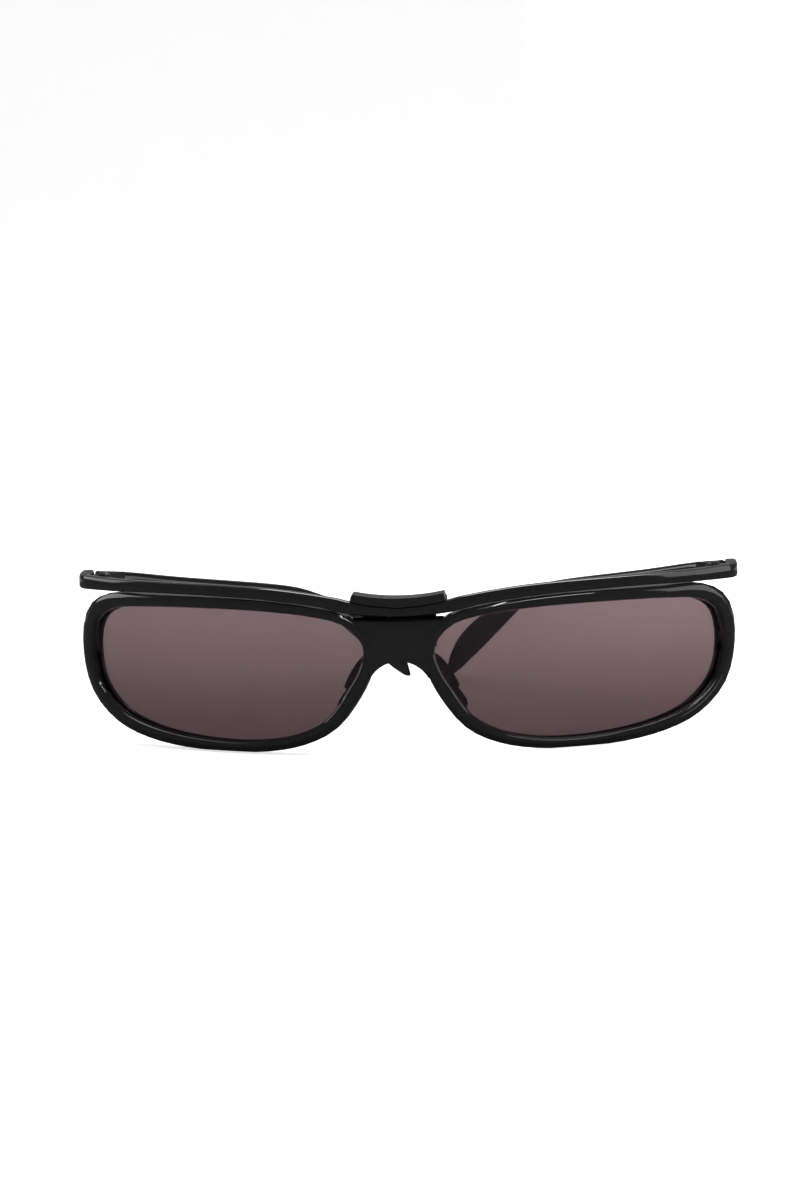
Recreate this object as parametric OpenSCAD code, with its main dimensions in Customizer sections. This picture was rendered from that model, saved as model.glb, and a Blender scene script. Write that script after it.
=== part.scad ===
// Flip-up wrap sunglasses, standing on their rims with the temples half folded.
// Millimetres, +Z up, the front looks along -Y, the origin is the middle of the footprint.

/* [Front] */
// Radius of the wrap that the lens frame and the brow bar follow
wrap_r = 100; // [85:1:130]
// Depth of the lens frame from its front to its back
rim_depth = 4.2; // [3.8:0.1:6]
// Rounding of the rims' front edges
rim_round = 0.5; // [0.2:0.05:0.7]
// Thickness of each lens
lens_t = 1.8; // [1.2:0.1:2]
// Distance of the lens behind the rim's front
lens_set = 1.6; // [1.2:0.1:1.8]
// Depth of the groove that holds the lens
groove_d = 0.75; // [0.5:0.05:0.9]
// Gap between the lens and its groove
lens_gap = 0.06; // [0.03:0.01:0.15]

/* [Bridge] */
// Radius of the nose arch between the rims
arch_r = 6.8; // [6.4:0.1:7.4]
// Height of the nose arch's top above the table
arch_top = 19; // [18:0.25:20]
// Distance of the bridge behind the rims' curved front
bridge_set = 0.1; // [0.05:0.05:0.3]
// Thickness of the bridge plate
bridge_t = 3.8; // [2.5:0.1:4]

/* [Flip hinge] */
// Height of the flip hinge's axis above the table
flip_z = 25.6; // [25:0.1:25.8]
// Radius of the hinge barrel along the bridge's top
barrel_r = 2.35; // [2:0.05:2.4]
// Diameter of the flip pin
flip_pin_d = 1.4; // [1:0.1:1.6]
// Length of the flip pin
flip_pin_l = 15.6; // [14:0.2:16]
// Radius of the block's two ears round the pin
ear_r = 1.35; // [1.2:0.05:1.4]
// Thickness of each ear
ear_t = 1.6; // [1.2:0.1:2]
// Distance of each ear's middle from the centre
ear_x = 4.6; // [4.3:0.1:5]

/* [Hinge block] */
// Width of the hinge block
block_w = 19.6; // [18:0.2:22]
// Distance of the block's back from the bridge front
block_back = 6.5; // [6.4:0.1:7]
// Height of the block's top in the middle of its saddle
block_top = 31.85; // [31.4:0.05:32.2]
// Radius of the saddle in the block's top
saddle_r = 46; // [40:1:60]
// Width of the block's rear wall, which carries the ears
wall_w = 15; // [11.8:0.2:15]
// Height of the rear wall's lower edge above the table
wall_bottom = 21.4; // [21:0.1:22]

/* [Brow bar] */
// Depth of the brow bar from front to back
bar_t = 2.6; // [2.2:0.1:3]
// Rounding of the brow bar's edges
bar_round = 0.6; // [0.3:0.05:0.8]
// Angle of the wrap where the bar's ends begin to curl back
curl_start = 43; // [40:0.5:45]
// Outer radius of the curled ends
curl_r = 6.6; // [6:0.1:8]
// Straight length behind each curl, up to the temple
end_l = 3.5; // [3.4:0.1:5]

/* [Temples] */
// Distance of the temple hinge pin inside the endpiece's outer face
pin_in = 4.9; // [4.8:0.05:5.4]
// Distance of the temple hinge pin before the endpiece's rear face
pin_before = 1.8; // [1.7:0.05:2]
// Thickness of the temple at the hinge
temple_t = 2.6; // [2.2:0.1:2.8]
// Thickness of the temple at its tip
temple_tip_t = 2.2; // [1.6:0.1:2.6]
// Inward bow of the temple at its tip
temple_bow = 3.1; // [1:0.1:5]
// Gap between endpiece and temple when the temple is open
end_gap = 0.2; // [0.15:0.05:0.4]
// Distance of each temple's tip from the middle as the temples stand half folded
tip_apart = 5.15; // [4:0.05:9]

/* [Temple hinges] */
// Outer radius of the hinge knuckles
knuckle_r = 1.6; // [1.5:0.05:1.7]
// Height of the temple's middle knuckle
knuckle_mid_h = 1; // [0.9:0.1:1.1]
// Height of each outer knuckle
knuckle_end_h = 0.7; // [0.6:0.05:0.75]
// Diameter of the hinge screw's shank
hinge_screw_d = 1.2; // [1:0.1:1.4]
// Thickness of the hinge leaves
leaf_t = 1; // [0.8:0.1:1.2]
// Depth that the leaves are let into the plastic
leaf_in = 0.5; // [0.4:0.05:0.7]

/* [Nose piece] */
// Thickness of the nose piece's flange
flange_t = 1.2; // [1:0.1:1.6]
// Radius of the nose piece's arms
arm_r = 0.9; // [0.8:0.05:1]
// Length of each soft nose pad
pad_l = 11; // [10:0.5:12]
// Width of each soft nose pad
pad_w = 4.6; // [4:0.1:5]
// Thickness of each soft nose pad
pad_t = 1.7; // [1.4:0.1:2]
// Lean of the pads from upright
pad_lean = 35; // [25:1:40]
// Splay of the pads towards the back
pad_splay = 25; // [20:1:35]

/* [Fasteners] */
// Shank diameter of the small screws
screw_d = 1.2; // [1:0.1:1.3]
// Head diameter of the small screws
screw_head_d = 2.2; // [1.8:0.1:2.4]
// Head height of the small screws
screw_head_h = 0.6; // [0.5:0.05:0.7]
// Width of the slot in each screw's head
drive_w = 0.4; // [0.3:0.05:0.5]
// Depth of the slot in each screw's head
drive_d = 0.3; // [0.2:0.05:0.35]

/* [Clearances] */
// Radial running clearance of the moving pins
run_gap = 0.05; // [0.02:0.01:0.08]
// Radial clearance of a tight pin or screw
tight_gap = 0.01; // [0.01:0.01:0.02]
// Clearance between moving faces
face_gap = 0.15; // [0.1:0.01:0.2]
// Clearance between seated faces of fixed pieces
seat_gap = 0.05; // [0.02:0.01:0.08]

/* [Hidden] */
$fn = 48;
// Cuts run past the faces that they open by this much
over = 1;
// Long enough to reach through any piece
far = 200;

// One lens opening, as distance round the wrap, height and width of the rim there
opening = [[7.5, 22.1, 2.5], [8.2, 17.6, 2.7], [10.9, 13, 3.1], [15.2, 7.2, 2.8], [21.1, 4, 2.5],
    [28.4, 2.4, 2.3], [37, 2, 2.2], [47.2, 2.6, 2.5], [57, 4.1, 2.7], [65.4, 6.8, 2.8],
    [71.8, 11.9, 3.1], [73.9, 18.6, 3.4], [72.6, 25, 3.8], [67.4, 28.2, 3.4], [58, 29.1, 2.7],
    [44, 29.4, 2.45], [30.5, 29.15, 2.3], [19.3, 28.2, 2.1], [11.5, 26.35, 2.1]];
opening_steps = 3;
lens_mid = [40, 16];

// The brow bar's lower and upper edge, by distance round the wrap
curl_at = wrap_r * curl_start * PI / 180;
curl_l = curl_r * (90 - curl_start) * PI / 180;
bar_end = curl_at + curl_l + end_l;
bar_edges = [[0, 28.1, 29.9], [8, 28.5, 30.8], [12.2, 29.1, 31.8], [16.2, 30.1, 32.5],
    [20.5, 30.7, 33.1], [24.5, 31.15, 33.55], [29.5, 31.6, 33.95], [38.5, 32, 34.35],
    [48.5, 32.2, 34.5], [58, 32.15, 34.55], [67, 31.95, 34.6], [curl_at, 31.9, 34.8],
    [curl_at + curl_l / 2, 31.85, 34.9], [curl_at + curl_l, 31.85, 35.1], [bar_end, 31.9, 35.3]];
bar_steps = 2;

// The temple's lower and upper edge, by distance behind the hinge pin
temple_edges = [[2, 31.9, 34.8], [11, 30.5, 33.7], [25, 28.2, 31.4], [39, 25.9, 29.3],
    [53, 23.5, 27.2], [63, 21.7, 25.3], [70.5, 19.9, 22.9], [75, 17, 21.2], [81, 12.6, 18.5],
    [87, 8.2, 15.5], [92, 4.7, 12.2], [95.6, 2.2, 8.9], [98, 0.75, 5.4], [99.2, 0.1, 2.4],
    [99.6, 0, 1]];
temple_steps = 3;
tip_at = temple_edges[len(temple_edges) - 1][0];

// Flip hinge: the barrel's front is flush with the bridge plate's flat middle
barrel_front = 0.2;
flip_y = barrel_front + barrel_r;
wall_front = flip_y + barrel_r + 0.3;
flip_bore_r = flip_pin_d / 2 + tight_gap;

// Endpieces and temple hinges, on the right side
curl_c = [(wrap_r - curl_r) * sin(curl_start), wrap_r - (wrap_r - curl_r) * cos(curl_start)];
end_x = curl_c[0] + curl_r;
end_y = curl_c[1] + end_l;
pin_x = end_x - pin_in;
pin_y = end_y - pin_before;
hinge_top = 34.4;
knuckle_gap = 0.05;
hinge_mid = hinge_top - knuckle_end_h - knuckle_gap - knuckle_mid_h / 2;
hinge_low = hinge_top - 2 * knuckle_end_h - 2 * knuckle_gap - knuckle_mid_h;
leaf_x = pin_in - bar_t + leaf_in;
temple_in = temple_edges[0][0];
leaf_h = 2;
leaf_front_l = 4.2;
leaf_back_l = 6;

// The nose pads' middles and the arms that carry them, on the right side
pad_at = [10, 9.4, 11.8];
arm_path = [[3.8, 0.6, 19.4], [6.4, 0.7, 19.2], [8.2, 1.1, 17.6], [9.9, 1.7, 15],
    [11, 2.5, 12.6]];
flange_z = [18, 23.8];
pad_plate_t = 0.8;
pad_plate_in = 1.2;

// The angle that the temples are folded in, which brings their tips to their places
tip_line = temple_line(tip_at);
rest_fold = asin((pin_x - tip_apart) / norm([tip_at, tip_line])) + atan(tip_line / tip_at);

// The footprint's middle, between the bar's front and the temple tips
tip_y = pin_y + turned([tip_line + temple_tip_t / 2, tip_at], rest_fold)[1];
mid_y = tip_y / 2;

// A point turned by an angle about the origin
function turned(p, a) = [p[0] * cos(a) - p[1] * sin(a), p[0] * sin(a) + p[1] * cos(a)];

// The temple's middle line, as its distance outside the hinge pin
function temple_line(y) = pin_in - bar_t / 2 - temple_bow * pow(y / tip_at, 2);

// A point on a smooth curve from b to c, with neighbours a and d
function smooth(a, b, c, d, t) =
    (2 * b + (c - a) * t + (2 * a - 5 * b + 4 * c - d) * t * t
    + (3 * b - a - 3 * c + d) * t * t * t) / 2;

// A smooth closed curve through all points, and an open one
function smooth_loop(p, n) = [for (i = [0:len(p) - 1]) for (k = [0:n - 1])
    smooth(p[(i + len(p) - 1) % len(p)], p[i], p[(i + 1) % len(p)], p[(i + 2) % len(p)], k / n)];
function smooth_line(p, n) = concat([for (i = [0:len(p) - 2]) for (k = [0:n - 1])
    smooth(p[max(i - 1, 0)], p[i], p[i + 1], p[min(i + 2, len(p) - 1)], k / n)],
    [p[len(p) - 1]]);

// A point at distance u round the wrap, b in front of its face and z high
function wrapped(u, b, z) = let (a = u / wrap_r * 180 / PI)
    [(wrap_r + b) * sin(a), wrap_r - (wrap_r + b) * cos(a), z];

// The same for the brow bar, whose ends curl back on a tighter radius
function along_bar(u, b, z) = let (v = abs(u), a = curl_start + (v - curl_at) / curl_r * 180 / PI)
    v <= curl_at ? wrapped(u, b, z)
    : v <= curl_at + curl_l
        ? [sign(u) * (curl_c[0] + (curl_r + b) * sin(a)), curl_c[1] - (curl_r + b) * cos(a), z]
        : [sign(u) * (end_x + b), curl_c[1] + v - curl_at - curl_l, z];

// A rectangle with rounded corners, as points
function rounded_box(x0, x1, y0, y1, r) = let (c = [[x0 + r, y0 + r, 180], [x1 - r, y0 + r, 270],
    [x1 - r, y1 - r, 0], [x0 + r, y1 - r, 90]])
    [for (k = [0:3]) for (a = [0, 45, 90])
        [c[k][0] + r * cos(c[k][2] + a), c[k][1] + r * sin(c[k][2] + a)]];

// The opening's outward direction at one point of a closed curve
function outward(c, i) = let (d = c[(i + 1) % len(c)] - c[(i + len(c) - 1) % len(c)],
    l = norm([d[0], d[1]])) [d[1] / l, -d[0] / l];

// The rim's section: distance out from the opening and height above the wrap's face
function rim_section(w) = let (g0 = -lens_set + lens_gap, g1 = -lens_set - lens_t - lens_gap)
    [[groove_d, g1], [0, g1], [0, -rim_depth], [w - rim_round, -rim_depth],
    [w, -rim_depth + rim_round], [w, -2.4 * rim_round], [w - 0.2 * rim_round, -rim_round],
    [w - rim_round, -0.3 * rim_round], [0.6 * w, 0], [0.4 * w, 0], [rim_round, -0.2 * rim_round],
    [0.3 * rim_round, -0.9 * rim_round], [0, -2 * rim_round], [0, g0], [groove_d, g0]];

// Skin between rings of points, closed on itself or with flat ends
module skin(rings, closed) {
    m = len(rings[0]);
    n = len(rings);
    last = closed ? n - 1 : n - 2;
    sides = [for (i = [0:last]) for (k = [0:m - 1]) let (a = i * m + k, b = i * m + (k + 1) % m,
        c = ((i + 1) % n) * m + (k + 1) % m, d = ((i + 1) % n) * m + k) each [[a, b, c], [a, c, d]]];
    ends = closed ? [] : [[for (k = [m - 1:-1:0]) k], [for (k = [0:m - 1]) (n - 1) * m + k]];
    polyhedron([for (r = rings) each r], concat(sides, ends));
}

// A cylinder along X, centred on x = 0
module rod_x(r, l) {
    rotate([0, 90, 0]) cylinder(r = r, h = l, center = true);
}

// A cylinder along +Y from the origin
module rod_y(r, l) {
    rotate([-90, 0, 0]) cylinder(r = r, h = l);
}

// A box given by its corners
module span(a, b) {
    translate(a) cube(b - a);
}

// Moves what is drawn about the bridge's front to the part's own frame
module placed() {
    translate([0, -mid_y, 0]) children();
}

module mirrored(side) {
    if (side > 0) children();
    else mirror([1, 0, 0]) children();
}

module both_sides() {
    for (side = [-1, 1]) mirrored(side) children();
}

// Everything outside or inside an upright cylinder about the wrap's centre
module wrap_disc(r, z0, z1) {
    translate([0, wrap_r, z0]) cylinder(r = r, h = z1 - z0, $fn = 180);
}

module rim() {
    c = smooth_loop(opening, opening_steps);
    skin([for (i = [0:len(c) - 1]) let (n = outward(c, i))
        [for (s = rim_section(c[i][2])) wrapped(c[i][0] + s[0] * n[0], s[1], c[i][1] + s[0] * n[1])]],
        true);
}

// The bridge's edge on the right, which runs inside the rim, and its outline from the front
bridge_edge = [[6.2, 15.5], [5.8, 21.5], [6.3, 23.8], [8, 26], [9.2, 26.9]];
module bridge_outline() {
    n = len(bridge_edge);
    top = [bridge_edge[n - 1][0], flip_z + barrel_r];
    difference() {
        polygon([for (p = bridge_edge) p, top, [-top[0], top[1]],
            for (k = [n - 1:-1:0]) [-bridge_edge[k][0], bridge_edge[k][1]]]);
        translate([0, arch_top - arch_r]) circle(arch_r);
    }
}

// The bridge's section from the side: a plate with the hinge barrel along its top
module bridge_section() {
    translate([flip_y, flip_z]) circle(barrel_r);
    translate([barrel_front, arch_top - arch_r]) square([bridge_t, flip_z - arch_top + arch_r]);
}

module bridge() {
    intersection() {
        rotate([90, 0, 0]) translate([0, 0, -far / 2]) linear_extrude(far) bridge_outline();
        rotate([90, 0, 90]) translate([0, 0, -block_w / 2]) linear_extrude(block_w) bridge_section();
        wrap_disc(wrap_r - bridge_set, 0, far);
    }
}

// Room for one ear: round the pin, and open to the back and the top for the ear's arm
module ear_slot() {
    w = ear_t + 2 * face_gap;
    r = ear_r + face_gap;
    rod_x(r, w);
    span([-w / 2, -r, -0.4 - face_gap], [w / 2, block_back, block_back]);
}

module lens_frame() {
    color("#1c1b1d") placed() difference() {
        union() {
            both_sides() rim();
            bridge();
        }
        translate([0, flip_y, flip_z]) rod_x(flip_bore_r, block_w);
        both_sides() translate([ear_x, flip_y, flip_z]) ear_slot();
        for (a = [0, 90]) translate([0, flip_y, flip_z]) rotate([a, 0, 0]) detent_flat();
        span([-far, -far, -far], [far, far, 0]);
    }
}

// A flat on the barrel's middle, which the detent spring settles on
module detent_flat() {
    flat_depth = 0.2;
    span([-3, barrel_r - flat_depth, -over], [3, barrel_r + over, over]);
}

// Solid that reaches through the wrap along its radii, inside the lens's outline
module lens_plug() {
    c = smooth_loop(opening, opening_steps);
    reach = groove_d - lens_gap;
    edge = [for (i = [0:len(c) - 1]) let (n = outward(c, i))
        [c[i][0] + reach * n[0], c[i][1] + reach * n[1]]];
    front = [for (p = edge) wrapped(p[0], 2, p[1])];
    back = [for (p = edge) wrapped(p[0], -8, p[1])];
    n = len(edge);
    polyhedron(concat(front, back, [for (d = [6, -12]) wrapped(lens_mid[0], d, lens_mid[1])]),
        [for (i = [0:n - 1]) let (j = (i + 1) % n)
            each [[i, j, n + j], [i, n + j, n + i], [j, i, 2 * n], [n + i, n + j, 2 * n + 1]]]);
}

module lens(side) {
    color("#8a6f74", 0.6) placed() mirrored(side) intersection() {
        lens_plug();
        difference() {
            wrap_disc(wrap_r - lens_set, 0, far / 4);
            wrap_disc(wrap_r - lens_set - lens_t, -over, far / 4 + over);
        }
    }
}

module flip_pin() {
    color("silver") placed() translate([0, flip_y, flip_z]) rod_x(flip_pin_d / 2, flip_pin_l);
}

// All stations of the bar, from the left end to the right end
bar_line = smooth_line(concat([for (i = [len(bar_edges) - 1:-1:1])
    [-bar_edges[i][0], bar_edges[i][1], bar_edges[i][2]]], bar_edges), bar_steps);

module brow_bar() {
    color("#1c1b1d") placed() difference() {
        skin([for (p = bar_line) [for (s = rounded_box(-bar_t, 0, p[1], p[2], bar_round))
            along_bar(p[0], s[0], s[1])]], false);
        both_sides() translate([pin_x, pin_y, 0]) leaf_plate(seat_gap, -1);
        block_screw_places() rod_y(screw_d / 2 + tight_gap, block_screw_l + tight_gap);
    }
}

// Places where the block's screws enter the bar from behind, looking to the front
module block_screw_places() {
    for (x = [-1, 1] * block_screw_x) translate([x, block_screw_y, block_screw_z])
        rotate([0, 0, 180]) children();
}
block_screw_x = 8;
block_screw_z = 29.6;
block_screw_y = block_back;
block_screw_l = block_back - 1;

// The block from the front, which follows the bar's top edge at its seat and tapers at its ends
block_draft = 0.6;
module block_outline() {
    near = [for (p = bar_line) if (abs(p[0]) < block_w / 2 + 4)
        [wrapped(p[0], -bar_t / 2, 0)[0], p[2] + seat_gap]];
    intersection() {
        polygon([[-block_w / 2, 0], [block_w / 2, 0], [block_w / 2, block_top - block_draft],
            [block_w / 2 - block_draft, block_top + 2 * block_draft],
            [block_draft - block_w / 2, block_top + 2 * block_draft],
            [-block_w / 2, block_top - block_draft]]);
        polygon(concat(near, [[block_w, block_top + far / 10], [-block_w, block_top + far / 10]]));
    }
}

// The part of the block that lies behind the bar
module block_body() {
    behind = bar_edges[1][1] + 0.3;
    intersection() {
        union() {
            span([-block_w / 2, 0, behind], [block_w / 2, block_back, block_top]);
            span([-wall_w / 2, 0, behind - 0.8], [wall_w / 2, block_back, block_top]);
        }
        wrap_disc(wrap_r - bar_t - seat_gap, 0, far / 4);
    }
}

module hinge_block() {
    color("#2a282a") placed() difference() {
        union() {
            intersection() {
                rotate([90, 0, 0]) translate([0, 0, -block_back]) linear_extrude(block_back + over)
                    block_outline();
                wrap_disc(wrap_r - front_step, 0, far / 4);
            }
            block_body();
            span([-wall_w / 2, wall_front, wall_bottom], [wall_w / 2, block_back, block_top - over]);
            both_sides() translate([ear_x, flip_y, flip_z]) ear();
        }
        translate([0, flip_y, flip_z]) rod_x(flip_pin_d / 2 + run_gap, wall_w);
        spring_pocket();
        block_screw_places() screw_hole();
        nose_screw_places() rod_y(screw_d / 2 + tight_gap, far);
        translate([0, 0, block_top + saddle_r]) rotate([-90, 0, 0])
            cylinder(r = saddle_r, h = far, $fn = 180);
    }
}
front_step = 0.1;

// One ear round the flip pin, on an arm that reaches forward from the rear wall
module ear() {
    rod_x(ear_r, ear_t);
    span([-ear_t / 2, 0, -0.4], [ear_t / 2, wall_front - flip_y + 0.4, ear_r]);
}

// The detent spring is a bowed leaf that touches the barrel with its middle
spring_w = 5.6;
spring_t = 0.25;
spring_half = 2.6;
spring_bow = 0.45;
spring_r = (spring_half * spring_half + spring_bow * spring_bow) / (2 * spring_bow);
spring_y = flip_y + barrel_r + 0.05;

module detent_spring() {
    color("silver") placed() intersection() {
        translate([0, spring_y + spring_r, flip_z]) difference() {
            rod_x(spring_r, spring_w);
            rod_x(spring_r - spring_t, spring_w + over);
        }
        span([-spring_w, spring_y - over, flip_z - spring_half],
            [spring_w, spring_y + spring_r / 2, flip_z + spring_half]);
    }
}

module spring_pocket() {
    play = 0.2;
    span([-spring_w / 2 - play, wall_front - over, flip_z - spring_half - play],
        [spring_w / 2 + play, spring_y + spring_bow + spring_t + seat_gap,
        flip_z + spring_half + play]);
}

// A screw that points along +Y with its head's top at the origin
module screw(l) {
    difference() {
        union() {
            rod_y(screw_head_d / 2, screw_head_h);
            rod_y(screw_d / 2, l);
        }
        span([-screw_head_d, -over, -drive_w / 2], [screw_head_d, drive_d, drive_w / 2]);
    }
}

module screw_hole() {
    rod_y(screw_head_d / 2 + seat_gap, screw_head_h + seat_gap);
    rod_y(screw_d / 2 + tight_gap, far / 4);
}

module block_screws() {
    color("dimgray") placed() block_screw_places() screw(block_screw_l);
}

// The nose piece hangs behind the bridge on the block's rear wall
nose_screw_x = 4.2;
nose_screw_z = 22.3;

module nose_screw_places() {
    for (x = [-1, 1] * nose_screw_x) translate([x, block_back + flange_t, nose_screw_z])
        rotate([0, 0, 180]) children();
}

module nose_screws() {
    color("dimgray") placed() nose_screw_places() screw(flange_t + block_back - wall_front - 0.2);
}

module nose_piece() {
    flange_w = 11.6;
    color("#2a282a") placed() difference() {
        union() {
            span([-flange_w / 2, block_back, flange_z[0]],
                [flange_w / 2, block_back + flange_t, flange_z[1]]);
            both_sides() nose_arm();
            both_sides() pad_frame() pad_plate();
        }
        nose_screw_places() screw_hole();
    }
}

// One arm: a round bar along a smooth line from the flange to the pad's plate
module nose_arm() {
    sides = 10;
    line = smooth_line([for (p = arm_path) [p[0], block_back + p[1], p[2]]], 3);
    n = len(line);
    skin([for (i = [0:n - 1]) let (d = line[min(i + 1, n - 1)] - line[max(i - 1, 0)],
        t = d / norm(d), u = cross([0, 1, 0], t) / norm(cross([0, 1, 0], t)), v = cross(u, t))
        [for (k = [0:sides - 1]) line[i] + arm_r * (cos(360 * k / sides) * u
            + sin(360 * k / sides) * v)]], false);
}

// Frame of one pad: Z along the pad, -X towards the nose, the origin in its flat back
module pad_frame() {
    translate(pad_at) rotate([0, -pad_lean, 0]) rotate([0, 0, -pad_splay]) children();
}

module pad_plate() {
    w = pad_w - pad_plate_in;
    l = pad_l - 1.5 * pad_plate_in;
    for (z = [-1, 1] * (l - w) / 2) translate([0, 0, z]) rotate([0, 90, 0])
        cylinder(r = w / 2, h = pad_plate_t);
    span([0, -w / 2, -(l - w) / 2], [pad_plate_t, w / 2, (l - w) / 2]);
}

// A soft pad with a flat back and a domed face
module nose_pad(side) {
    rings = 8;
    sides = 16;
    color("#3a3638") placed() mirrored(side) pad_frame() skin([for (i = [0:rings])
        let (a = -80 + 160 * i / rings, z = pad_l / 2 * sin(a), w = cos(a))
        [for (k = [0:sides]) let (b = 180 * k / sides)
            [-pad_t * pow(w, 0.8) * pow(sin(b), 0.8), -pad_w / 2 * pow(w, 0.6) * cos(b), z]]],
        false);
}

// Plate of a hinge leaf, let into the plastic: dir is -1 before the pin and 1 behind it
module leaf_plate(gap, dir) {
    y0 = dir < 0 ? -leaf_front_l : temple_in + seat_gap * 2;
    y1 = dir < 0 ? pin_before - seat_gap * 2 : temple_in + leaf_back_l;
    span([leaf_x - leaf_t - gap, y0 - gap, hinge_mid - leaf_h / 2 - gap],
        [leaf_x + gap, y1 + gap, hinge_mid + leaf_h / 2 + gap]);
}

// Leaf on the endpiece: a plate with an upper and a lower knuckle
module hinge_leaf(side) {
    color("silver") placed() mirrored(side) translate([pin_x, pin_y, 0]) difference() {
        union() {
            leaf_plate(0, -1);
            for (z = [hinge_low, hinge_top - knuckle_end_h]) translate([0, 0, z]) {
                cylinder(r = knuckle_r, h = knuckle_end_h);
                span([0, -leaf_t, 0], [leaf_x - leaf_t / 2, leaf_t, knuckle_end_h]);
            }
        }
        translate([0, 0, hinge_low - over])
            cylinder(r = hinge_screw_d / 2 + tight_gap, h = hinge_top - hinge_low + 2 * over);
    }
}

module hinge_screw(side) {
    head_z = hinge_top - hinge_low;
    color("silver") placed() mirrored(side) translate([pin_x, pin_y, hinge_low]) difference() {
        union() {
            cylinder(r = hinge_screw_d / 2, h = head_z + screw_head_h);
            translate([0, 0, head_z]) cylinder(r = screw_head_d / 2, h = screw_head_h);
        }
        span([-screw_head_d, -drive_w / 2, head_z + screw_head_h - drive_d],
            [screw_head_d, drive_w / 2, head_z + screw_head_h + over]);
    }
}

// Turns a right temple, drawn straight back from its pin, to its resting place
module folded(side) {
    placed() mirrored(side) translate([pin_x, pin_y, 0]) rotate([0, 0, rest_fold]) children();
}

// Leaf on the temple: a plate with one knuckle, on a web that clears the endpiece's leaf
module temple_leaf(side) {
    color("silver") folded(side) difference() {
        union() {
            leaf_plate(0, 1);
            translate([0, 0, hinge_mid - knuckle_mid_h / 2]) {
                cylinder(r = knuckle_r, h = knuckle_mid_h);
                span([leaf_t / 2, 0, 0], [leaf_x - leaf_t - face_gap, temple_in + leaf_t,
                    knuckle_mid_h]);
                span([leaf_t / 2, temple_in + face_gap, 0], [leaf_x - leaf_t / 2,
                    temple_in + leaf_t, knuckle_mid_h]);
            }
        }
        translate([0, 0, hinge_mid - knuckle_mid_h])
            cylinder(r = hinge_screw_d / 2 + run_gap, h = 2 * knuckle_mid_h);
    }
}

module temple(side) {
    line = smooth_line(temple_edges, temple_steps);
    color("#1c1b1d") folded(side) difference() {
        skin([for (p = line) let (t = temple_t + (temple_tip_t - temple_t) * p[0] / tip_at,
            x = temple_line(p[0]), r = min(0.8, (p[2] - p[1]) * 0.45))
            [for (s = rounded_box(x - t / 2, x + t / 2, p[1], p[2], r)) [s[0], p[0], s[1]]]], false);
        leaf_plate(seat_gap, 1);
    }
}

brow_bar();
hinge_block();
block_screws();
detent_spring();
nose_piece();
nose_screws();
nose_pad(-1);  // nose_pad_left
nose_pad(1);  // nose_pad_right
hinge_leaf(-1);  // hinge_leaf_left
hinge_leaf(1);  // hinge_leaf_right
hinge_screw(-1);  // hinge_screw_left
hinge_screw(1);  // hinge_screw_right
lens_frame();
lens(-1);  // lens_left
lens(1);  // lens_right
flip_pin();
temple(-1);  // temple_left
temple(1);  // temple_right
temple_leaf(-1);  // temple_leaf_left
temple_leaf(1);  // temple_leaf_right
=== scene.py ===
import math

import bmesh
import bpy
from mathutils import Matrix, Vector


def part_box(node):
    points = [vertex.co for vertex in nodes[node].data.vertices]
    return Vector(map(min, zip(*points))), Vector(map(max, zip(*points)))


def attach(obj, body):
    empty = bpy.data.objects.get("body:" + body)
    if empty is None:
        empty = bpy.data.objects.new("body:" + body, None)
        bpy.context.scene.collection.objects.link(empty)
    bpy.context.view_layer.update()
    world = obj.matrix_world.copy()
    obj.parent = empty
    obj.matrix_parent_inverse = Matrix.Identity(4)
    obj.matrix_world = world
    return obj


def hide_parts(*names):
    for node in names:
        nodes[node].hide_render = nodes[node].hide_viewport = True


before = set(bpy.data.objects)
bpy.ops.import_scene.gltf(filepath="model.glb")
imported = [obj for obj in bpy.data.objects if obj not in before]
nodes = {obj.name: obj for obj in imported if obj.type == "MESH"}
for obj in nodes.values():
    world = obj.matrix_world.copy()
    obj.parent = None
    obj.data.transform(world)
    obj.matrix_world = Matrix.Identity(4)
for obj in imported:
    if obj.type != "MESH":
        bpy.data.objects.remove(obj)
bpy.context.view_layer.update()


# Camera: the photograph was taken from a little above the brow bar and a little to the right,
# with the frame turned slightly, so that the right half stands higher than the left.
MM = 0.001
front_to_middle = -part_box("brow_bar")[0].y
photo_width_px = 800
focal_length_px = 2700
aim_below_level_px = 309
sensor_width_mm = 36
camera_distance = 541
camera_aside = 0.55
camera_height = 93.5
camera_turn = math.radians(3.6)
camera_pitch = math.atan(aim_below_level_px / focal_length_px)
camera_roll = math.radians(1.37)
camera_at = Vector((camera_distance * math.sin(camera_turn) + camera_aside,
                    -camera_distance * math.cos(camera_turn), camera_height)) * MM
camera_at.y -= front_to_middle

ahead = Vector((-math.sin(camera_turn) * math.cos(camera_pitch),
                math.cos(camera_turn) * math.cos(camera_pitch), -math.sin(camera_pitch)))
level = Vector((math.cos(camera_turn), math.sin(camera_turn), 0))
upright = level.cross(ahead)
side_axis = level * math.cos(camera_roll) - upright * math.sin(camera_roll)
up_axis = upright * math.cos(camera_roll) + level * math.sin(camera_roll)

camera = bpy.data.objects.new("camera", bpy.data.cameras.new("camera"))
bpy.context.scene.collection.objects.link(camera)
camera.data.sensor_fit = "HORIZONTAL"
camera.data.sensor_width = sensor_width_mm
camera.data.lens = sensor_width_mm * focal_length_px / photo_width_px
camera.data.clip_start = 0.01
camera.data.clip_end = 20
camera.matrix_world = Matrix.Translation(camera_at) @ Matrix(
    (side_axis, up_axis, -ahead)).transposed().to_4x4()
bpy.context.scene.camera = camera
bpy.context.scene.view_settings.view_transform = "Standard"


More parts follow.
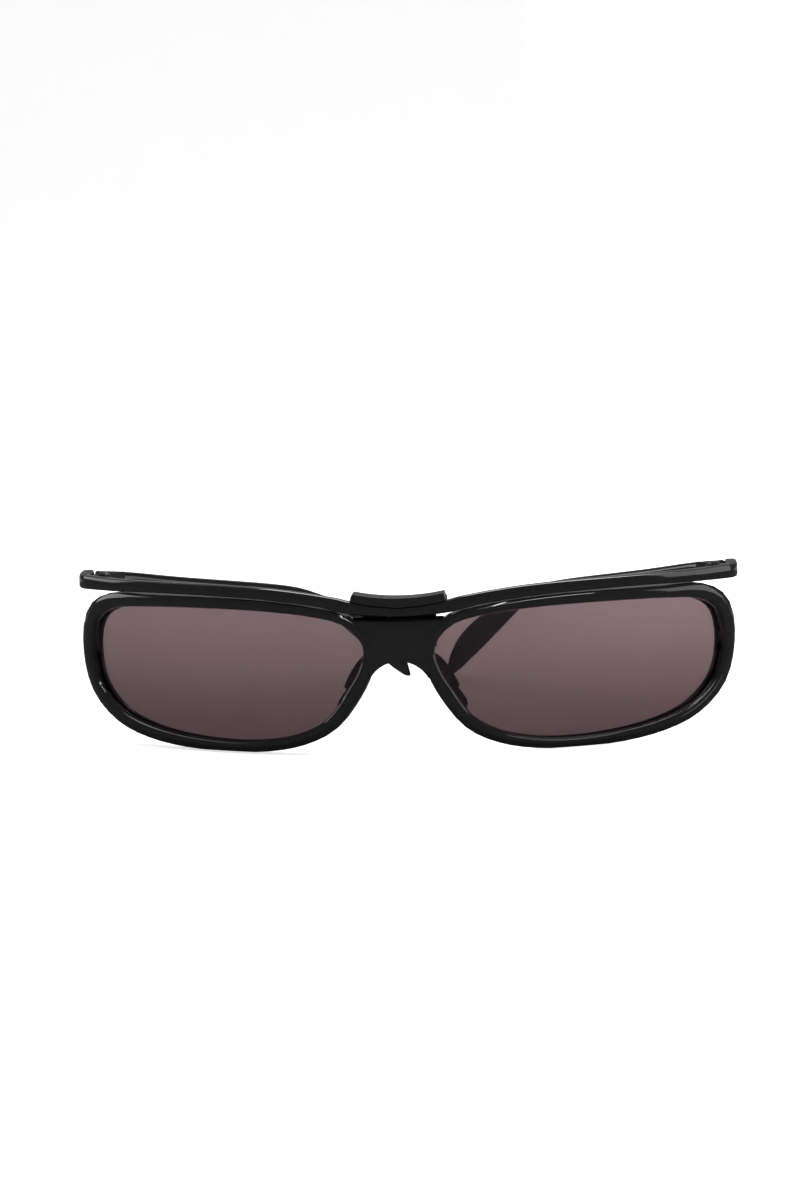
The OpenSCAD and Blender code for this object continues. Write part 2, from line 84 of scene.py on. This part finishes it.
# Studio sweep: a sheet of matt white card, laid flat under the sunglasses and curved up behind
# them. It glows for the camera, so that it reads white, and more on the right, where the lens is
# lit from behind. Its front half is dim in reflections, as the photographed studio was.
def srgb(code):
    """A hex colour, turned to the linear values that shaders take."""
    parts = [int(code[i:i + 2], 16) / 255 for i in (1, 3, 5)]
    return tuple(c / 12.92 if c <= 0.04045 else ((c + 0.055) / 1.055) ** 2.4 for c in parts) + (1,)


def add(tree, kind, settings=None, links=None):
    """Adds one shader node, sets its attributes and sockets, and links its inputs."""
    item = tree.nodes.new(kind)
    for name, value in (settings or {}).items():
        if isinstance(name, str) and hasattr(item, name):
            setattr(item, name, value)
        else:
            item.inputs[name].default_value = value
    for name, source in (links or {}).items():
        tree.links.new(source, item.inputs[name])
    return item


def start(name):
    """A new material with an empty node tree, and its output node."""
    made = bpy.data.materials.new(name)
    made.use_nodes = True
    made.node_tree.nodes.clear()
    return made, made.node_tree, made.node_tree.nodes.new("ShaderNodeOutputMaterial")


white_card, tree, out = start("matt_white_card")
paper = add(tree, "ShaderNodeBsdfDiffuse", {"Color": srgb("#f4f4f4"), "Roughness": 0.5})
card_place = add(tree, "ShaderNodeSeparateXYZ", None,
                 {"Vector": add(tree, "ShaderNodeTexCoord").outputs["Object"]})
glow_strength = add(tree, "ShaderNodeMapRange",
                    {"From Min": -10 * MM, "From Max": 75 * MM, "To Min": 0.75, "To Max": 1.22,
                     "interpolation_type": "SMOOTHSTEP"}, {"Value": card_place.outputs["X"]})
glow = add(tree, "ShaderNodeEmission", {"Color": srgb("#ffffff")},
           {"Strength": glow_strength.outputs[0]})
both = add(tree, "ShaderNodeAddShader", None, {0: paper.outputs[0], 1: glow.outputs[0]})
ray = add(tree, "ShaderNodeLightPath")
seen = add(tree, "ShaderNodeMath", {"operation": "MAXIMUM"},
           {0: ray.outputs["Is Camera Ray"], 1: ray.outputs["Is Transmission Ray"]})
direct = add(tree, "ShaderNodeMixShader", None,
             {0: seen.outputs[0], 1: paper.outputs[0], 2: both.outputs[0]})
dim = add(tree, "ShaderNodeBsdfDiffuse", {"Color": srgb("#666668"), "Roughness": 0.5})
mirrored_ray = add(tree, "ShaderNodeMath", {"operation": "SUBTRACT", "use_clamp": True},
                   {0: ray.outputs["Is Glossy Ray"], 1: ray.outputs["Is Transmission Ray"]})
in_front = add(tree, "ShaderNodeMapRange",
               {"From Min": 0.5, "From Max": 0.1, "interpolation_type": "SMOOTHSTEP"},
               {"Value": card_place.outputs["Y"]})
dimmed = add(tree, "ShaderNodeMath", {"operation": "MULTIPLY"},
             {0: mirrored_ray.outputs[0], 1: in_front.outputs[0]})
mix = add(tree, "ShaderNodeMixShader", None,
          {0: dimmed.outputs[0], 1: direct.outputs[0], 2: dim.outputs[0]})
tree.links.new(mix.outputs[0], out.inputs["Surface"])

card_half_width = 4
card_front = -3
card_turn = 1.6
card_bend = 1
card_low = -0.4 * MM
wall_height = 3


def smooth(mesh):
    """Shades all faces of a mesh smoothly."""
    for polygon in mesh.polygons:
        polygon.use_smooth = True


def verts_in(geometry):
    """The vertices among the elements that a bmesh operator returns."""
    return [item for item in geometry if isinstance(item, bmesh.types.BMVert)]


sweep_mesh = bmesh.new()
front_end = sweep_mesh.verts.new((-card_half_width, card_front, card_low))
rear_end = sweep_mesh.verts.new((-card_half_width, card_turn, card_low))
sweep_mesh.edges.new((front_end, rear_end))
bend = bmesh.ops.spin(sweep_mesh, geom=[rear_end], axis=(1, 0, 0), angle=math.radians(90),
                      cent=(-card_half_width, card_turn, card_low + card_bend), steps=24,
                      use_duplicate=False)
wall = bmesh.ops.extrude_vert_indiv(sweep_mesh, verts=verts_in(bend["geom_last"]))
bmesh.ops.translate(sweep_mesh, verts=wall["verts"], vec=(0, 0, wall_height))
across = bmesh.ops.extrude_edge_only(sweep_mesh, edges=sweep_mesh.edges[:])
bmesh.ops.translate(sweep_mesh, verts=verts_in(across["geom"]), vec=(2 * card_half_width, 0, 0))
bmesh.ops.recalc_face_normals(sweep_mesh, faces=sweep_mesh.faces[:])
sweep_data = bpy.data.meshes.new("studio_sweep")
sweep_mesh.to_mesh(sweep_data)
sweep_mesh.free()
smooth(sweep_data)
sweep_data.materials.append(white_card)
sweep = bpy.data.objects.new("studio_sweep", sweep_data)
bpy.context.scene.collection.objects.link(sweep)


# Lamps: an overhead softbox lights the card, three long strips draw the light lines along the
# bar's and the rims' edges, and a softbox at each side shows the rims' outer walls. Metres, watts.
def softbox(name, place, target, width, height, watts):
    """A rectangular area lamp that faces a target."""
    lamp = bpy.data.objects.new(name, bpy.data.lights.new(name, "AREA"))
    lamp.data.shape = "RECTANGLE"
    lamp.data.size = width
    lamp.data.size_y = height
    lamp.data.energy = watts
    lamp.location = place
    lamp.rotation_euler = (Vector(target) - Vector(place)).to_track_quat("-Z", "Y").to_euler()
    bpy.context.scene.collection.objects.link(lamp)


softbox("overhead_softbox", (0, 0.3, 1.3), (0, 0, 0), 1.4, 0.5, 9)
softbox("overhead_strip", (0.2, -0.03, 1.2), (0, -0.03, 0), 1.6, 0.03, 4)
softbox("edge_strip", (0.35, 0.75, 0.85), (0, 0, 0.02), 1.2, 0.16, 3)
softbox("front_strip", (0.5, -0.75, 1.2), (0, 0, 0), 0.9, 0.08, 2.5)
softbox("right_softbox", (0.85, -0.12, 0.22), (0.07, -0.05, 0.02), 0.5, 0.5, 1.2)
softbox("left_softbox", (-1.0, 0.1, 0.4), (-0.07, 0, 0.03), 0.5, 0.5, 1.8)

world = bpy.data.worlds.new("studio_world")
world.use_nodes = True
bpy.context.scene.world = world
world.node_tree.nodes["Background"].inputs["Color"].default_value = srgb("#c9cacc")
world.node_tree.nodes["Background"].inputs["Strength"].default_value = 0.2


# Brow bar: the fixed upper bar, one injection moulding in black nylon with its two endpieces
# curled back in the same piece. It is 2.6 mm deep, some 2.4 mm tall, and tumbled to a gloss.
edge_angle = 32
join_within = 0.002 * MM


def pattern_scale(size_mm):
    """A noise scale at which the features lie about this many millimetres apart."""
    return 1 / (size_mm * MM)


def dress(name, material, angle=edge_angle):
    """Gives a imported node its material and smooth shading, and keeps the edges over the angle."""
    piece = nodes[name]
    piece.data.materials.clear()
    piece.data.materials.append(material)
    smooth(piece.data)
    weld = piece.modifiers.new("join", "WELD")
    weld.merge_threshold = join_within
    split = piece.modifiers.new("keep_edges", "EDGE_SPLIT")
    split.split_angle = math.radians(angle)


# Polyamide 12, injection moulded and tumbled: near black with a faint warm cast, a clear gloss
# with slow ripples from the mould (6 mm apart) and a very fine skin grain (0.3 mm).
gloss_nylon, tree, out = start("tumbled_black_polyamide")
place = add(tree, "ShaderNodeTexCoord").outputs["Object"]
slow = add(tree, "ShaderNodeTexNoise",
           {"Scale": pattern_scale(6.25), "Detail": 2, "Roughness": 0.5}, {"Vector": place})
skin_grain = add(tree, "ShaderNodeTexNoise",
                 {"Scale": pattern_scale(0.3125), "Detail": 3, "Roughness": 0.6},
                 {"Vector": place})
tone = add(tree, "ShaderNodeMixRGB", {"Color1": srgb("#1a181a"), "Color2": srgb("#211f20")},
           {"Fac": slow.outputs["Fac"]})
sheen = add(tree, "ShaderNodeMapRange", {"To Min": 0.05, "To Max": 0.1},
            {"Value": slow.outputs["Fac"]})
ripple = add(tree, "ShaderNodeBump", {"Strength": 0.1, "Distance": 0.06 * MM},
             {"Height": slow.outputs["Fac"]})
grain = add(tree, "ShaderNodeBump", {"Strength": 0.03, "Distance": 0.008 * MM},
            {"Height": skin_grain.outputs["Fac"], "Normal": ripple.outputs["Normal"]})
nylon = add(tree, "ShaderNodeBsdfPrincipled",
            {"IOR": 1.5, "Coat Weight": 0.3, "Coat Roughness": 0.03},
            {"Base Color": tone.outputs[0], "Roughness": sheen.outputs[0],
             "Normal": grain.outputs["Normal"]})
tree.links.new(nylon.outputs[0], out.inputs["Surface"])
dress("brow_bar", gloss_nylon)


# Lens frame: both rims and the bridge in one moulding of the same nylon, 4.2 mm deep, with a
# groove round each opening and the barrel of the flip hinge along the bridge's top.
rim_edge_angle = 38
dress("lens_frame", gloss_nylon, rim_edge_angle)


# Temples: moulded in the same nylon, 2.6 mm thick at the hinge and 2.2 mm at the tip, with a
# deep flat blade over the ear.
dress("temple_left", gloss_nylon)
dress("temple_right", gloss_nylon)


# Hinge block: the raised block in the middle, moulded in black nylon and left satin from the
# mould. It covers the flip hinge and is held to the brow bar by two screws from behind.
# Polyamide from a spark-eroded mould: black, satin, with a fine even grain (0.25 mm), drawn
# coarser than a real mould's so that it shows, and slow clouds in its tone (4 mm).
satin_nylon, tree, out = start("satin_black_polyamide")
place = add(tree, "ShaderNodeTexCoord").outputs["Object"]
spark = add(tree, "ShaderNodeTexNoise",
            {"Scale": pattern_scale(0.25), "Detail": 4, "Roughness": 0.65}, {"Vector": place})
cloud = add(tree, "ShaderNodeTexNoise", {"Scale": pattern_scale(4.17), "Detail": 2},
            {"Vector": place})
tone = add(tree, "ShaderNodeMixRGB", {"Color1": srgb("#1d1b1d"), "Color2": srgb("#252224")},
           {"Fac": cloud.outputs["Fac"]})
sheen = add(tree, "ShaderNodeMapRange", {"To Min": 0.3, "To Max": 0.42},
            {"Value": spark.outputs["Fac"]})
grain = add(tree, "ShaderNodeBump", {"Strength": 0.25, "Distance": 0.02 * MM},
            {"Height": spark.outputs["Fac"]})
nylon = add(tree, "ShaderNodeBsdfPrincipled", {"IOR": 1.52},
            {"Base Color": tone.outputs[0], "Roughness": sheen.outputs[0],
             "Normal": grain.outputs["Normal"]})
tree.links.new(nylon.outputs[0], out.inputs["Surface"])
dress("hinge_block", satin_nylon)


# Nose piece: a flange, two round arms and two plates in one moulding of the satin nylon. It is
# screwed to the back of the hinge block, and carries the soft pads.
dress("nose_piece", satin_nylon)


# Lenses: two 1.8 mm shells of tinted polycarbonate, snapped into the rims' grooves. The dye is
# a mauve brown that grows darker towards the lower edge.
# Polycarbonate, moulded and hard coated: clear and smooth, with a graded dye that wanders a
# little over 22 mm.
tinted_lens, tree, out = start("tinted_polycarbonate")
place = add(tree, "ShaderNodeTexCoord").outputs["Object"]
height = add(tree, "ShaderNodeSeparateXYZ", None, {"Vector": place}).outputs["Z"]
soft_cloud = add(tree, "ShaderNodeTexNoise", {"Scale": pattern_scale(22.2), "Detail": 1},
                 {"Vector": place})
lens_low, lens_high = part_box("lens_right")
graded = add(tree, "ShaderNodeMapRange",
             {"From Min": lens_low.z, "From Max": lens_high.z, "interpolation_type": "SMOOTHSTEP"},
             {"Value": height})
dye_wander = 0.16
wander = add(tree, "ShaderNodeMath",
             {"operation": "MULTIPLY_ADD", 1: dye_wander, 2: -dye_wander / 2},
             {0: soft_cloud.outputs["Fac"]})
dye_place = add(tree, "ShaderNodeMath", {"operation": "ADD", "use_clamp": True},
                {0: graded.outputs[0], 1: wander.outputs[0]})
dye = add(tree, "ShaderNodeMixRGB", {"Color1": srgb("#423437"), "Color2": srgb("#625255")},
          {"Fac": dye_place.outputs[0]})
clear = add(tree, "ShaderNodeBsdfPrincipled",
            {"IOR": 1.5, "Transmission Weight": 1.0, "Roughness": 0.02},
            {"Base Color": dye.outputs[0]})
tree.links.new(clear.outputs[0], out.inputs["Surface"])
lens_edge_angle = 40
dress("lens_left", tinted_lens, lens_edge_angle)
dress("lens_right", tinted_lens, lens_edge_angle)


# Pin, hinge screws and detent leaf: the flip hinge's pin and the temple hinges' screws are turned
# from stainless steel, and the leaf is stamped. All are tumbled, with soft edges.
# Stainless steel, tumbled: grey, with crossing fine scratches about 0.2 mm apart.
tumbled_steel, tree, out = start("tumbled_stainless_steel")
place = add(tree, "ShaderNodeTexCoord").outputs["Object"]
scratch = add(tree, "ShaderNodeTexNoise",
              {"Scale": pattern_scale(0.1667), "Detail": 4, "Distortion": 1.5},
              {"Vector": place})
tone = add(tree, "ShaderNodeMixRGB", {"Color1": srgb("#a9a8a6"), "Color2": srgb("#c6c5c2")},
           {"Fac": scratch.outputs["Fac"]})
sheen = add(tree, "ShaderNodeMapRange", {"To Min": 0.22, "To Max": 0.4},
            {"Value": scratch.outputs["Fac"]})
steel = add(tree, "ShaderNodeBsdfPrincipled", {"Metallic": 1.0},
            {"Base Color": tone.outputs[0], "Roughness": sheen.outputs[0]})
tree.links.new(steel.outputs[0], out.inputs["Surface"])
for name in ("flip_pin", "detent_spring", "hinge_screw_left", "hinge_screw_right"):
    dress(name, tumbled_steel)


# Blackened fittings: the temple hinges' leaves, stamped from steel sheet, and the four small
# screws behind the block. All are blackened, so that they don't show beside the nylon.
# Steel, blackened in oil: dark grey with a dull shine and a fine mottle (0.4 mm).
black_steel, tree, out = start("blackened_steel")
place = add(tree, "ShaderNodeTexCoord").outputs["Object"]
mottle = add(tree, "ShaderNodeTexNoise", {"Scale": pattern_scale(0.4), "Detail": 3},
             {"Vector": place})
tone = add(tree, "ShaderNodeMixRGB", {"Color1": srgb("#3b3a3a"), "Color2": srgb("#525150")},
           {"Fac": mottle.outputs["Fac"]})
steel = add(tree, "ShaderNodeBsdfPrincipled", {"Metallic": 1.0, "Roughness": 0.38},
            {"Base Color": tone.outputs[0]})
tree.links.new(steel.outputs[0], out.inputs["Surface"])
for name in ("block_screws", "nose_screws", "hinge_leaf_left", "hinge_leaf_right",
             "temple_leaf_left", "temple_leaf_right"):
    dress(name, black_steel)


# Nose pads: soft silicone, moulded with a flat back and a domed face, 11 mm long, 4.6 mm wide
# and 1.7 mm thick. Each is pressed on its plate, and a low lip runs round its back edge.
# Silicone, moulded: smoky dark grey and dull, cloudy in its depth (over 2.4 mm), with a fine
# etched bloom (0.2 mm).
soft_silicone, tree, out = start("smoky_silicone")
place = add(tree, "ShaderNodeTexCoord").outputs["Object"]
bloom = add(tree, "ShaderNodeTexNoise", {"Scale": pattern_scale(0.1923), "Detail": 3},
            {"Vector": place})
depth_cloud = add(tree, "ShaderNodeTexNoise", {"Scale": pattern_scale(2.38), "Detail": 2},
                  {"Vector": place})
tone = add(tree, "ShaderNodeMixRGB", {"Color1": srgb("#2c292b"), "Color2": srgb("#3b3739")},
           {"Fac": depth_cloud.outputs["Fac"]})
sheen = add(tree, "ShaderNodeMapRange", {"To Min": 0.42, "To Max": 0.6},
            {"Value": bloom.outputs["Fac"]})
etch = add(tree, "ShaderNodeBump", {"Strength": 0.2, "Distance": 0.02 * MM},
           {"Height": bloom.outputs["Fac"]})
silicone = add(tree, "ShaderNodeBsdfPrincipled",
               {"IOR": 1.41, "Subsurface Weight": 0.15, "Subsurface Scale": 0.5,
                "Subsurface Radius": (1 * MM, 0.8 * MM, 0.8 * MM)},
               {"Base Color": tone.outputs[0], "Roughness": sheen.outputs[0],
                "Normal": etch.outputs["Normal"]})
tree.links.new(silicone.outputs[0], out.inputs["Surface"])

pad_long = 11 * MM
pad_wide = 4.6 * MM
pad_thick = 1.7 * MM
pad_at = Vector((10, 9.4, 11.8)) * MM
pad_at.y -= front_to_middle
pad_lean = math.radians(35)
pad_splay = math.radians(25)
lip_height = 0.35 * MM
# Shares of the pad's half width, and powers that square off its outline and fill its dome
lip_at = 0.93
lip_half_width = 0.08
dome_power = 0.75
side_power = 0.9
end_power = 0.95
merge_within = 0.01 * MM


def signed_power(value, power):
    """The value's power with its sign kept, which squares off a round form."""
    return math.copysign(abs(value) ** power, value)


for side, name in ((-1, "nose_pad_left"), (1, "nose_pad_right")):
    pad = bmesh.new()
    bmesh.ops.create_uvsphere(pad, u_segments=64, v_segments=40, radius=1)
    for vert in pad.verts:
        from_middle = math.hypot(vert.co.y, vert.co.z)
        dome = max(-vert.co.x, 0) ** dome_power
        lip = lip_height * min(1, max(0, 1 - abs(from_middle - lip_at) / lip_half_width))
        vert.co = Vector((-max(dome * (pad_thick - lip_height) + lip, 0),
                          signed_power(vert.co.y, side_power) * pad_wide / 2,
                          signed_power(vert.co.z, end_power) * pad_long / 2))
    bmesh.ops.remove_doubles(pad, verts=pad.verts[:], dist=merge_within)
    bmesh.ops.dissolve_degenerate(pad, edges=pad.edges[:], dist=merge_within / 2)
    bmesh.ops.transform(pad, verts=pad.verts[:], matrix=Matrix.Scale(side, 4, (1, 0, 0))
                        @ Matrix.Translation(pad_at) @ Matrix.Rotation(-pad_lean, 4, "Y")
                        @ Matrix.Rotation(-pad_splay, 4, "Z"))
    bmesh.ops.recalc_face_normals(pad, faces=pad.faces[:])
    data = bpy.data.meshes.new(name + "_soft")
    pad.to_mesh(data)
    pad.free()
    smooth(data)
    data.materials.append(soft_silicone)
    piece = bpy.data.objects.new(name + "_soft", data)
    bpy.context.scene.collection.objects.link(piece)
    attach(piece, "front")
    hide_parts(name)
